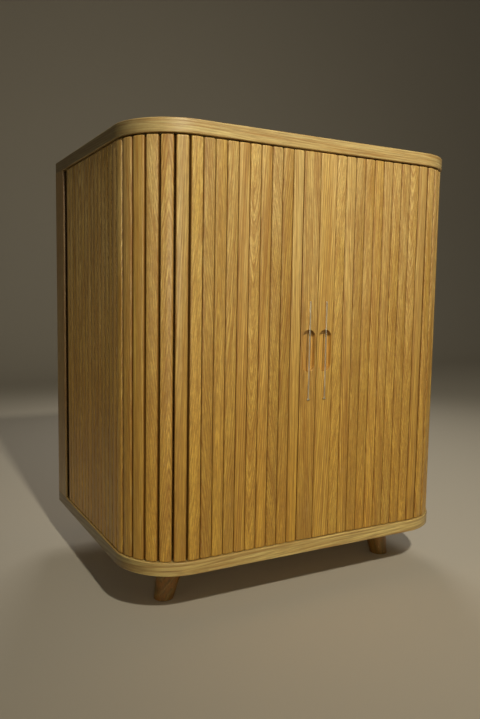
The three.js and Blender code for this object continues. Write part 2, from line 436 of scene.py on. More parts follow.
@dataclass(frozen=True)
class Canvas:
    """The woven backing cloth behind the slats, with its threads per metre."""

    name: str = "backing_canvas"
    dark: Triple = (0.28, 0.13, 0.016)
    light: Triple = (0.50, 0.25, 0.04)
    threads: float = 900.0
    crossing: Span = (0.2, 0.3)
    fuzz: Layer = Layer((700, 700, 700), 3)
    lightness: Span = (0.5, 0.5)
    roughness: Span = (0.86, 0.1)
    sheen: float = 0.2
    relief: float = 0.25 * MM

    def build(self) -> bpy.types.Material:
        """Makes the material.

        Returns:
            The canvas, with a plain weave on the sheet's own UV map.
        """
        r = Recipe(self.name)
        place = r.add("ShaderNodeUVMap", {"uv_map": "cloth"}, {}, "UV")
        across, along = (r.axis(place, i) * self.threads for i in range(2))
        over = ((across.whole() + along.whole()) / 2.0).fraction().step(self.crossing)
        height = over * across.arch() + (1.0 - over) * along.arch()
        fuzz = r.noise(place, self.fuzz)
        return r.surface(
            {
                "Base Color": r.mix(height * fuzz.lift(*self.lightness), self.dark, self.light),
                "Roughness": fuzz.lift(*self.roughness),
                "Sheen Weight": self.sheen,
                "Normal": r.bump(height, self.relief),
            }
        )


@dataclass(frozen=True)
class PaleFloor:
    """The matt, nearly even paint of the floor that the cabinet stands on."""

    name: str = "pale_floor"
    colour: Triple = (0.54, 0.48, 0.38)
    cloudy: Triple = (0.50, 0.44, 0.34)
    cloud: Layer = Layer((0.8, 0.8, 0.8), 3, strength=0.25)
    roughness: Span = (0.7, 0.1)

    def build(self) -> bpy.types.Material:
        """Makes the material.

        Returns:
            The paint.
        """
        r = Recipe(self.name)
        cloud = r.noise(r.place(), self.cloud)
        body = r.mix(cloud * self.cloud.strength, self.colour, self.cloudy)
        return r.surface({"Base Color": body, "Roughness": cloud.lift(*self.roughness)})


# Grain


@dataclass(frozen=True)
class Cut:
    """The ranges from which a board's place in its tree is drawn.

    The lean is the largest across and into the board. The reach is how fast the figure changes
    along the board.
    """

    behind: Span
    lean: Span
    reach: Span


# The two cuts, how far a straight board lies from the heart, how far along the tree a board may
# start, and a board's lightness, warmth and strength of figure.
CROWN = Cut(behind=(1 * MM, 3 * MM), lean=(0.012, 0.006), reach=(0.6, 1.4))
STRAIGHT = Cut(behind=(20 * MM, 50 * MM), lean=(0.006, 0.004), reach=(0.2, 0.6))
ASIDE = (70 * MM, 110 * MM)
SHIFT = (0.0, 40.0)
DYE = ((0.92, 1.06), (0.0, 0.26), (0.35, 1.0))


@dataclass(frozen=True)
class Tree:
    """How one board was cut: where the tree's heart lies, how it leans, and its tint."""

    heart: Span
    lean: Span
    reach: float
    shift: float
    tint: Triple

    @classmethod
    def crown_cut(cls, dice: random.Random, spread: float) -> "Tree":
        """A board with flames along its face, whose heart may lie so far to the side."""
        return cls.drawn(dice, dice.uniform(-spread, spread), CROWN)

    @classmethod
    def straight(cls, dice: random.Random) -> "Tree":
        """A board with straight, close lines along its face."""
        return cls.drawn(dice, dice.choice((-1, 1)) * dice.uniform(*ASIDE), STRAIGHT)

    @classmethod
    def drawn(cls, dice: random.Random, aside: float, cut: Cut) -> "Tree":
        """Draws the rest of a board.

        Args:
            dice: The random source.
            aside: How far the heart lies to the side.
            cut: The ranges that are drawn from.

        Returns:
            The board.
        """
        heart = (aside, dice.uniform(*cut.behind))
        lean = tuple(dice.uniform(-most, most) for most in cut.lean)
        reach = dice.choice((-1, 1)) * dice.uniform(*cut.reach)
        return cls(heart, lean, reach, dice.uniform(*SHIFT), tuple(dice.uniform(*way) for way in DYE))

    def retinted(self, loss: float, warmth: float) -> "Tree":
        """The same board with less lightness and more warmth, which paints shade and light on some faces and
        darkens the posts.
        """
        shade, warm, strength = self.tint
        return replace(self, tint=(shade * (1.0 - loss), warm + warmth, strength))

    def seen(self, across: float, deep: float, along: float) -> Triple:
        """A point on the board, measured from the tree's heart as the oak reads it."""
        return (
            across + self.heart[0] + self.lean[0] * along,
            deep + self.heart[1] + self.lean[1] * along,
            along * self.reach + self.shift,
        )


def stamp_grain(bm: BMesh, choose: Callable[[BMFace], tuple[Tree, Chart]]) -> None:
    """Writes each face corner's grain coordinates and tint.

    Args:
        bm: The mesh, in the place where its chart is true.
        choose: Gives each face its tree and chart.
    """
    grain = bm.loops.layers.float_vector.new("grain")
    tint = bm.loops.layers.float_vector.new("tint")
    for face in bm.faces:
        tree, chart = choose(face)
        for loop in face.loops:
            loop[grain] = tree.seen(*chart(loop.vert.co))
            loop[tint] = tree.tint


# Modelling helpers


def verts_in(geom: Iterable[Any]) -> list[BMVert]:
    """The vertices among some parts of a mesh."""
    return [part for part in geom if isinstance(part, BMVert)]


@dataclass
class Pen:
    """Draws a plan outline from a first point, which is then raised into a closed solid."""

    x: float
    y: float

    def __post_init__(self) -> None:
        """Puts the pen down."""
        self.bm = bmesh.new()
        self.first = self.tip = self.bm.verts.new((self.x, self.y, 0.0))

    def line(self, x: float, y: float, z: float = 0.0) -> "Pen":
        """Draws a straight line to a point, and returns the pen."""
        self.tip = bmesh.ops.extrude_vert_indiv(self.bm, verts=[self.tip])["verts"][0]
        self.tip.co = (x, y, z)
        return self

    def arc(self, centre: Span, angle: float, steps: int) -> "Pen":
        """Draws an arc in the plan, counterclockwise about a centre."""
        return self.bend((*centre, 0.0), (0, 0, 1), angle, steps)

    def bend(self, centre: Triple, axis: Triple, angle: float, steps: int) -> "Pen":
        """Draws an arc in any plane.

        Args:
            centre: The centre.
            axis: The axis that it turns about.
            angle: How far it turns.
            steps: How many straight pieces it has.

        Returns:
            The pen.
        """
        turned = bmesh.ops.spin(
            self.bm, geom=[self.tip], cent=centre, axis=axis, angle=angle, steps=steps, use_merge=False
        )
        self.tip = verts_in(turned["geom_last"])[0]
        return self

    def raised(self, low: float, high: float) -> BMesh:
        """Closes the outline and raises it.

        Args:
            low: The solid's lowest Z.
            high: Its highest Z.

        Returns:
            The closed solid.
        """
        self.bm.edges.new((self.tip, self.first))
        bmesh.ops.remove_doubles(self.bm, verts=self.bm.verts, dist=TOUCH)
        bmesh.ops.contextual_create(self.bm, geom=self.bm.edges[:])
        grown = bmesh.ops.extrude_face_region(self.bm, geom=self.bm.faces[:])
        bmesh.ops.translate(self.bm, verts=self.bm.verts, vec=(0, 0, low))
        bmesh.ops.translate(self.bm, verts=verts_in(grown["geom"]), vec=(0, 0, high - low))
        bmesh.ops.recalc_face_normals(self.bm, faces=self.bm.faces)
        return self.bm


def block(low: Sequence[float], high: Sequence[float]) -> BMesh:
    """Makes a plain block, for shaping further.

    Args:
        low: Its lowest corner.
        high: Its highest corner.

    Returns:
        The block.
    """
    bm = bmesh.new()
    low, high = Vector(low), Vector(high)
    place = Matrix.Translation((low + high) / 2) @ Matrix.Diagonal((*(high - low), 1.0))
    bmesh.ops.create_cube(bm, size=1.0, matrix=place)
    return bm


def ease(bm: BMesh, edges: Iterable[BMEdge], width: float, segments: int = 3) -> None:
    """Rounds some edges.

    Args:
        bm: The mesh.
        edges: The edges to round.
        width: How far the rounding reaches from the edge.
        segments: How many faces it has.
    """
    limits = {"offset": width, "offset_type": "OFFSET", "clamp_overlap": True}
    bmesh.ops.bevel(
        bm, geom=list(edges), affect="EDGES", segments=segments, profile=0.5, material=-1, **limits
    )


def sharp_edges(bm: BMesh) -> list[BMEdge]:
    """The edges where two faces meet at a sharp angle."""
    return [e for e in bm.edges if len(e.link_faces) == 2 and e.calc_face_angle(0.0) > SHARP_ANGLE]


def level(edge: BMEdge) -> bool:
    """Whether both ends of an edge are equally high."""
    return abs(edge.verts[0].co.z - edge.verts[1].co.z) < TOUCH


def split(bm: BMesh, axis: int, at: float) -> None:
    """Cuts a mesh's faces, without opening it, along a plane.

    Args:
        bm: The mesh.
        axis: The axis that the plane stands across.
        at: Where the plane crosses it.
    """
    spot, normal = [0.0] * 3, [0.0] * 3
    spot[axis], normal[axis] = at, 1.0
    geom = bm.verts[:] + bm.edges[:] + bm.faces[:]
    bmesh.ops.bisect_plane(bm, geom=geom, dist=PLANE, plane_co=spot, plane_no=normal)


def merge(bm: BMesh, extra: BMesh) -> None:
    """Adds a mesh to another one, and frees it."""
    spare = bpy.data.meshes.new("spare")
    extra.to_mesh(spare)
    extra.free()
    bm.from_mesh(spare)
    bpy.data.meshes.remove(spare)


def shown(name: str, data: Any) -> bpy.types.Object:
    """Puts new data into the scene as an object."""
    thing = bpy.data.objects.new(name, data)
    bpy.context.scene.collection.objects.link(thing)
    return thing


def carved(bm: BMesh, tool: BMesh) -> BMesh:
    """Cuts a solid out of a solid.

    Args:
        bm: The solid that is cut. It is freed.
        tool: The solid that is taken away. It is freed.

    Returns:
        What is left.
    """
    parts = []
    for shape in (bm, tool):
        mesh = bpy.data.meshes.new("carving")
        shape.to_mesh(mesh)
        shape.free()
        parts.append(shown("carving", mesh))
    cut = parts[0].modifiers.new("cut", "BOOLEAN")
    cut.operation = "DIFFERENCE"
    cut.solver = "EXACT"
    cut.object = parts[1]
    left = bmesh.new()
    left.from_object(parts[0], bpy.context.evaluated_depsgraph_get())
    for part in parts:
        bpy.data.meshes.remove(part.data)
    bmesh.ops.remove_doubles(left, verts=left.verts, dist=WELD)
    return left


@dataclass
class Workshop:
    """Turns finished meshes into pieces on their bodies."""

    materials: dict[str, bpy.types.Material]

    def piece(
        self, name: str, bm: BMesh, slot: Slot, body: str, nodes: Sequence[str] = (), material: str = ""
    ) -> bpy.types.Object:
        """Makes one piece.

        Args:
            name: The piece's name.
            bm: Its mesh, in place. It is freed.
            slot: The material slot, whose material the piece gets.
            body: The CAD body that it rides on.
            nodes: The CAD nodes that it stands for.
            material: The material's name, if it isn't the slot's.

        Returns:
            The new object.
        """
        for face in bm.faces:
            face.smooth = True
        for edge in bm.edges:
            edge.smooth = edge.calc_face_angle(0.0) < ROUND_ANGLE
        mesh = bpy.data.meshes.new(name)
        bm.to_mesh(mesh)
        bm.free()
        mesh.materials.append(self.materials[material or slot.value])
        piece = shown(name, mesh)
        piece.modifiers.new("even_shading", "WEIGHTED_NORMAL").keep_sharp = True
        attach(piece, body)
        if nodes:
            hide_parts(*nodes)
        log.info("%s rides on %s", name, body)
        return piece


# The cabinet


@dataclass(frozen=True)
class Track:
    """The line on the cloth that both doors follow, and the slats along it."""

    front_y: float
    rear_y: float
    pitch: float = 25 * MM
    lead: float = 41 * MM
    flat_count: int = 9
    corner_count: int = 7
    side_count: int = 15
    turn_count: int = 2
    corner_start: float = 0.4
    curtain: float = 17.5 * MM
    overhang: float = 2.5 * MM
    rear_band: float = 2 * MM

    @property
    def front_run(self) -> float:
        """Half of the straight front."""
        return self.lead + (self.flat_count + self.corner_start) * self.pitch

    @property
    def corner_run(self) -> float:
        """The length of the cloth round the front corner."""
        return (self.corner_count - self.corner_start) * self.pitch

    @property
    def corner_radius(self) -> float:
        """The radius of the cloth round the front corner."""
        return self.corner_run / QUARTER

    @property
    def turn_radius(self) -> float:
        """The radius of the cloth round the rear turn."""
        return self.turn_count * self.pitch / QUARTER

    @property
    def board_radius(self) -> float:
        """The radius of the boards' front corners."""
        return self.corner_radius + self.curtain + self.overhang

    @property
    def half_width(self) -> float:
        """Half of the boards' width."""
        return self.front_run + self.board_radius

    @property
    def corner_y(self) -> float:
        """The Y of the front corners' centres."""
        return self.front_y + self.board_radius

    @property
    def side_x(self) -> float:
        """The X of the cloth along the side."""
        return self.front_run + self.corner_radius

    @property
    def turn_x(self) -> float:
        """The X of the rear turn's centre."""
        return self.side_x - self.turn_radius

    @property
    def turn_y(self) -> float:
        """The Y of the rear turn's centre."""
        return self.corner_y + self.side_count * self.pitch

    @property
    def tail_x(self) -> float:
        """The X of the end of an open door's rear run."""
        return self.turn_x - (self.flat_count - self.turn_count) * self.pitch

    def placed(self, side: Side, distance: float) -> Matrix:
        """Where a strip of slats lies.

        Args:
            side: The door.
            distance: How far along the track the strip's middle is.

        Returns:
            The matrix that carries the strip from its own axes to its place.
        """
        past = distance - self.front_run
        if past <= 0:
            x, y, heading = distance, self.corner_y - self.corner_radius, 0.0
        elif past <= self.corner_run:
            heading = past / self.corner_radius
            x = self.front_run + self.corner_radius * math.sin(heading)
            y = self.corner_y - self.corner_radius * math.cos(heading)
        else:
            x, y, heading = self.side_x, self.corner_y + past - self.corner_run, QUARTER
        turn = Matrix.Rotation(side.value * heading, 4, "Z")
        return Matrix.Translation((side.value * x, y, 0.0)) @ turn

    def round_edge(self, co: Vector) -> float:
        """Measures round the boards' edge.

        Args:
            co: A point on the edge.

        Returns:
            How far round the edge it is, from the middle of the front.
        """
        x, y = abs(co.x), co.y
        arc = self.board_radius * QUARTER
        if y >= self.corner_y:
            reach = self.front_run + arc + y - self.corner_y
            if y > self.rear_y - self.rear_band:
                reach += self.half_width - x
        elif x <= self.front_run:
            reach = x
        else:
            turn = math.atan2(x - self.front_run, self.corner_y - y)
            reach = self.front_run + self.board_radius * turn
        return math.copysign(reach, co.x)


@dataclass
class Maker:
    """What every class that makes pieces works with."""

    shop: Workshop
    track: Track
    dice: random.Random = field(default_factory=random.Random, kw_only=True)


@dataclass
class SlatShape:
    """The section and ends of the door slats, glued to their cloth."""

    bottom: float
    top: float
    thickness: float = 16.7 * MM
    cloth: float = 0.8 * MM
    gap: float = 0.8 * MM
    shoulder: float = 3.2 * MM
    crown: float = 0.8 * MM
    end_round: float = 3.0 * MM

    @property
    def face(self) -> float:
        """The Y of the slats' faces in their own axes."""
        return -self.thickness - self.cloth

    @property
    def middle(self) -> float:
        """The Z of the slats' middle."""
        return (self.bottom + self.top) / 2

    def build(self, pitch: float, swell: float) -> BMesh:
        """Makes one slat about its own middle.

        Args:
            pitch: The room that the slat has along the track.
            swell: How far its face swells.

        Returns:
            The closed slat.
        """
        half = (pitch - self.gap) / 2
        back, face, r = -self.cloth, self.face, self.shoulder
        edge = face + swell
        pen = Pen(half, back).line(-half, back).line(-half, edge + r)
        pen.arc((r - half, edge + r), QUARTER, SHOULDER_STEPS)
        if swell:
            span = half - r
            radius = (span * span + swell * swell) / (2 * swell)
            pen.arc((0.0, face + radius), 2 * math.asin(span / radius), SHOULDER_STEPS)
        pen.line(half - r, edge)
        pen.arc((half - r, edge + r), QUARTER, SHOULDER_STEPS)
        bm = pen.raised(self.bottom, self.top)
        ends = [e for e in bm.edges if level(e) and e.verts[0].co.y + e.verts[1].co.y < 2 * back - MM]
        ease(bm, ends, self.end_round)
        return bm


@dataclass
class Tambour(Maker):
    """One sliding door: slats, cloth, finger recess and pull.

    Each tint pair is a loss of lightness and a gain in warmth. They paint shade on the slats' shoulders,
    flanks and recess roof, and a glow in the rest of the recess.
    """

    slat: SlatShape
    side: Side
    pair: int = 2
    strip_count: int = 6
    recess: Triple = (31 * MM, 88 * MM, 11 * MM)
    recess_ease: float = 0.9 * MM
    recess_floor_ease: float = 1.5 * MM
    tongue: Triple = (4 * MM, 7 * MM, 4 * MM)
    tongue_short: float = 2 * MM
    tongue_ease: float = 0.5 * MM
    cloth_thickness: float = 0.6 * MM
    cloth_gap: float = 0.9 * MM
    cloth_margin: float = 1 * MM
    cloth_cells: tuple[int, int] = (4, 40)
    straight_share: float = 0.3
    heart_spread: float = 26 * MM
    # Painted shadow on the recess's roof, which faces down.
    recess_roof_shade: Span = (0.35, 0.25)
    # Painted glow: the rest of the recess is lighter and warmer, as though lit by light bounced inside it.
    recess_glow: Span = (-0.20, 0.10)
    # Painted shade on the slats' flanks, and on their shoulders in step with their slope, which darkens the
    # lines between the slats.
    flank_shade: Span = (0.32, 0.60)
    shoulder_shade: Span = (0.08, 0.20)
    seed: int = 71

    def build(self) -> None:
        """Makes the whole door."""
        self.dice.seed(self.seed + self.side.value)
        t, along = self.track, 0.0
        # Each row has the strips' label, their slats and their number.
        rows = (
            ("lead_slat", 1, 1),
            ("front_slat_{}", 1, t.flat_count - self.pair),
            ("front_pair", self.pair, 1),
            ("corner_slat_{}", 1, t.corner_count),
            ("side_strip", self.strip_count, 1),
            ("rear_slat_{}", 1, t.turn_count),
            ("tail_strip", t.side_count - self.strip_count - t.turn_count, 1),
        )
        for label, slats, strips in rows:
            for i in range(strips):
                along = self.lay(label.format(i + 1), slats, along)
        Pull(self.shop, t, self.slat, self.side).build()

    def lay(self, label: str, count: int, along: float) -> float:
        """Lays one strip of slats with its cloth.

        Args:
            label: The node's name without its side.
            count: How many slats the strip has.
            along: Where it starts on the track.

        Returns:
            Where the strip ends.
        """
        lead = label == "lead_slat"
        pitch = self.track.lead if lead else self.track.pitch
        node = f"{self.side.word}_{label}"
        body = f"{self.side.word}_lead" if lead else node
        length = count * pitch
        place = self.track.placed(self.side, along + length / 2)
        bm = self.lead_slat() if lead else self.strip(count)
        if lead or label == "side_strip":
            self.add_tongues(bm, length - self.slat.gap)
        trees = []
        for _ in range(count):
            plain = lead or self.dice.random() < self.straight_share
            trees += [Tree.straight(self.dice) if plain else Tree.crown_cut(self.dice, self.heart_spread)]

        def choose(face: BMFace) -> tuple[Tree, Chart]:
            """Gives each slat of the strip its own tree, measured from the middle of its face."""
            spot = face.calc_center_median().x + length / 2
            index = min(max(int(spot / pitch), 0), count - 1)
            origin = Vector(((index + 0.5) * pitch - length / 2, self.slat.face, 0.0))
            return self.with_painted_shade(trees[index], face, lead), lambda co: Grain.UPRIGHT.chart(co - origin)

        stamp_grain(bm, choose)
        bm.transform(place)
        slats = self.shop.piece(f"{node}_oak", bm, Slot.DOOR, body, [node])
        self.add_cloth(node, length, place, body, slats)
        return along + length

    def with_painted_shade(self, tree: Tree, face: BMFace, lead: bool) -> Tree:
        """A slat's board as one face shows it: painted shade on shoulders, flanks and recess roof, painted
        glow in the recess.

        Args:
            tree: The slat's own board.
            face: The face.
            lead: Whether the slat is the lead slat.

        Returns:
            The board with that face's tint.
        """
        spot = face.calc_center_median()
        behind = spot.y - self.slat.face
        if lead and abs(spot.x) < self.recess[0] / 2 + MM and MM / 2 < behind < self.recess[2] + MM / 2:
            # Painted shadow on the recess's roof, and a painted glow on its floor and walls.
            roof = face.normal.z < -TILTED
            return tree.retinted(*(self.recess_roof_shade if roof else self.recess_glow))
        # Painted shade on the flanks and shoulders, where the gaps between the slats fall dark.
        steep = abs(face.normal.x)
        if steep >= SQUARE:
            return tree.retinted(*self.flank_shade)
        if steep > TILTED:
            return tree.retinted(*(steep * share for share in self.shoulder_shade))
        return tree

    def strip(self, count: int) -> BMesh:
        """A row of equal slats about its own middle.

        Args:
            count: How many slats.

        Returns:
            The slats in one mesh.
        """
        pitch = self.track.pitch
        bm = self.slat.build(pitch, self.slat.crown)
        bmesh.ops.translate(bm, verts=bm.verts, vec=((1 - count) * pitch / 2, 0, 0))
        original = bm.verts[:] + bm.edges[:] + bm.faces[:]
        for i in range(1, count):
            copy = bmesh.ops.duplicate(bm, geom=original)["geom"]
            bmesh.ops.translate(bm, verts=verts_in(copy), vec=(i * pitch, 0, 0))
        return bm

    def lead_slat(self) -> BMesh:
        """The wide slat at the door's edge, with the finger recess routed into its flat face.

        Returns:
            The slat about its own middle.
        """
        slat = self.slat
        bm = slat.build(self.track.lead, 0.0)
        width, height, depth = self.recess
        straight = (height - width) / 2
        pen = Pen(width / 2, straight).arc((0.0, straight), math.pi, CORNER_STEPS)
        pen.line(-width / 2, -straight).arc((0.0, -straight), math.pi, CORNER_STEPS)
        tool = pen.raised(-5 * OVERRUN, depth)
        tool.transform(Matrix.Translation((0, slat.face, slat.middle)) @ Matrix.Rotation(-QUARTER, 4, "X"))
        bmesh.ops.recalc_face_normals(tool, faces=tool.faces)
        bm = carved(bm, tool)
        for y, rounding in ((slat.face, self.recess_ease), (slat.face + depth, self.recess_floor_ease)):
            near = {v for v in bm.verts if abs(v.co.y - y) < TOUCH and abs(v.co.z - slat.middle) < height}
            ease(bm, [e for e in sharp_edges(bm) if near.issuperset(e.verts)], rounding)
        return bm

    def add_tongues(self, bm: BMesh, width: float) -> None:
        """Adds the tongues that run in the boards' grooves.

        Args:
            bm: The strip's mesh.
            width: The tongues' length along the track.
        """
        thickness, length, inset = self.tongue
        front = -self.slat.cloth - inset - thickness
        for z, out in ((self.slat.bottom, -1), (self.slat.top, 1)):
            low, high = sorted((z - out * OVERRUN, z + out * (length - self.tongue_short)))
            shape = block((-width / 2, front, low), (width / 2, front + thickness, high))
            ease(shape, shape.edges[:], self.tongue_ease, 2)
            merge(bm, shape)

    def add_cloth(self, node: str, length: float, place: Matrix, body: str, slats: bpy.types.Object) -> None:
        """Glues a strip of cloth behind the slats.

        Args:
            node: The CAD node that the slats stand for.
            length: The strip's length along the track.
            place: The strip's place.
            body: The body that it rides on.
            slats: The slats' piece. It is not used.
        """
        slat = self.slat
        width, height = length - self.cloth_gap, slat.top - slat.bottom - 2 * self.cloth_margin
        stand = Matrix.Translation((0, -slat.cloth / 2, slat.middle)) @ Matrix.Rotation(QUARTER, 4, "X")
        stand = stand @ Matrix.Diagonal((width / 2, height / 2, 1.0, 1.0))
        bm = bmesh.new()
        across, up = self.cloth_cells
        bmesh.ops.create_grid(bm, x_segments=across, y_segments=up, size=1.0, matrix=stand)
        uv = bm.loops.layers.uv.new("cloth")
        for face in bm.faces:
            for loop in face.loops:
                loop[uv].uv = (loop.vert.co.x, loop.vert.co.z)
        bm.transform(place)
        cloth = self.shop.piece(f"{node}_cloth", bm, Slot.DOOR, body, material="backing_canvas")
        thickness = cloth.modifiers.new("thickness", "SOLIDIFY")
        thickness.thickness = self.cloth_thickness
        thickness.offset = 0.0


@dataclass
class Pull(Maker):
    """The thin upright bar across a door's finger recess, with its small foot."""

    slat: SlatShape
    side: Side
    height: float = 207 * MM
    width: float = 2.8 * MM
    depth: float = 3.2 * MM
    ease_width: float = 0.7 * MM
    foot_width: float = 6.5 * MM
    foot_height: float = 2.5 * MM
    foot_drop: float = 0.1 * MM
    foot_share: float = 0.98
    foot_ease: float = 0.6 * MM

    def build(self) -> None:
        """Makes the pull."""
        low, high = self.slat.middle - self.height / 2, self.slat.middle + self.height / 2
        face = self.slat.face
        bm = block((-self.width / 2, face - self.depth, low), (self.width / 2, face, high))
        ease(bm, bm.edges[:], self.ease_width)
        half, front = self.foot_width / 2, face - self.depth * self.foot_share
        foot = block((-half, front, low - self.foot_drop), (half, face, low + self.foot_height))
        ease(foot, foot.edges[:], self.foot_ease)
        merge(bm, foot)
        bm.transform(self.track.placed(self.side, self.track.lead / 2))
        node = f"{self.side.word}_pull"
        self.shop.piece(f"{node}_bar", bm, Slot.METAL, f"{self.side.word}_lead", [node])


@dataclass
class Boards(Maker):
    """The top and bottom boards, with their round front corners and door grooves."""

    ease_width: float = 2.2 * MM
    stave: float = 98 * MM
    heart_spread: float = 30 * MM
    groove_width: float = 5 * MM
    groove_inset: float = 6.8 * MM
    groove_depth: float = 7.5 * MM
    groove_end: float = 10 * MM
    # Painted shade: the edge band darkens as it turns to face the sides, with this strength, power and
    # warmth.
    side_shade: float = 0.62
    side_shade_power: int = 3
    side_shade_warmth: float = 0.1
    # Painted highlight: the edge band's upward-facing arris is lighter by this much.
    rim_highlight: float = 0.25
    seed: int = 505

    def build(self) -> None:
        """Makes both boards, each grooved on the face that looks at the doors."""
        self.dice.seed(self.seed)
        for node, corner, inward in (("top_board", 0, 1), ("bottom_board", 1, -1)):
            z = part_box(node)[corner][2]
            self.board(node, sorted((z - inward * OVERRUN, z + inward * self.groove_depth)))

    def board(self, node: str, cut: Sequence[float]) -> None:
        """Makes one board.

        Args:
            node: The CAD node.
            cut: The lowest and highest Z of the groove's cut.
        """
        t = self.track
        low, high = (corner[2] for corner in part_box(node))
        pen = Pen(t.half_width, t.rear_y).line(-t.half_width, t.rear_y)
        pen.line(-t.half_width, t.corner_y).arc((-t.front_run, t.corner_y), QUARTER, BOARD_STEPS)
        pen.line(t.front_run, t.front_y).arc((t.front_run, t.corner_y), QUARTER, BOARD_STEPS)
        bm = pen.raised(low, high)
        ease(bm, sharp_edges(bm), self.ease_width)
        bm = carved(bm, self.groove(cut))
        joint = t.front_y + self.stave
        while joint < t.rear_y:
            split(bm, 1, joint)
            joint += self.stave
        staves = int(2 * t.half_width / self.stave) + 2
        trees = [Tree.crown_cut(self.dice, self.heart_spread) for _ in range(staves)]
        edge = Tree.straight(self.dice)

        def choose(face: BMFace) -> tuple[Tree, Chart]:
            """Gives the edge band its own tree, and each stave of the faces another."""
            normal = face.normal
            if abs(normal.z) < LYING:
                # Painted shade darkens the edge band where it turns to face the sides, and a painted
                # highlight lightens its upper arris.
                loss = self.side_shade * abs(normal.x) ** self.side_shade_power - self.rim_highlight * max(normal.z, 0.0)
                band = edge.retinted(loss, self.side_shade_warmth * abs(normal.x))
                return band, lambda co: (co.z, 0.0, t.round_edge(co))
            index = int((face.calc_center_median().y - t.front_y) / self.stave)
            origin = Vector((0.0, t.front_y + (index + 0.5) * self.stave, high))
            return trees[index], lambda co: Grain.WIDE.chart(co - origin)

        stamp_grain(bm, choose)
        self.shop.piece(f"{node}_oak", bm, Slot.CARCASS, "carcass", [node])

    def groove(self, cut: Sequence[float]) -> BMesh:
        """The solid that cuts the doors' groove.

        Args:
            cut: Its lowest and highest Z.

        Returns:
            The closed solid.
        """
        t = self.track
        rear, last = t.turn_y + t.turn_radius, t.tail_x - self.groove_end
        turn, corner = (t.turn_x, t.turn_y, t.turn_radius), (t.front_run, t.corner_y, t.corner_radius)
        bends = [(-1, turn, TURN_STEPS), (-1, corner, CORNER_STEPS)]
        bends += [(1, corner, CORNER_STEPS), (1, turn, TURN_STEPS)]
        pen = Pen(-last, rear + self.groove_inset + self.groove_width / 2)
        for way in (1, -1):
            inset = self.groove_inset + way * self.groove_width / 2
            pen.line(-way * last, rear + inset)
            for i in range(len(bends))[::way]:
                side, (x, y, radius), steps = bends[i]
                start = (i + 1.5 - way / 2) * QUARTER
                out = Vector((math.cos(start), math.sin(start))) * (radius + inset)
                pen.line(side * x + out.x, y + out.y).arc((side * x, y), way * QUARTER, steps)
            pen.line(way * last, rear + inset)
        return pen.raised(*cut)


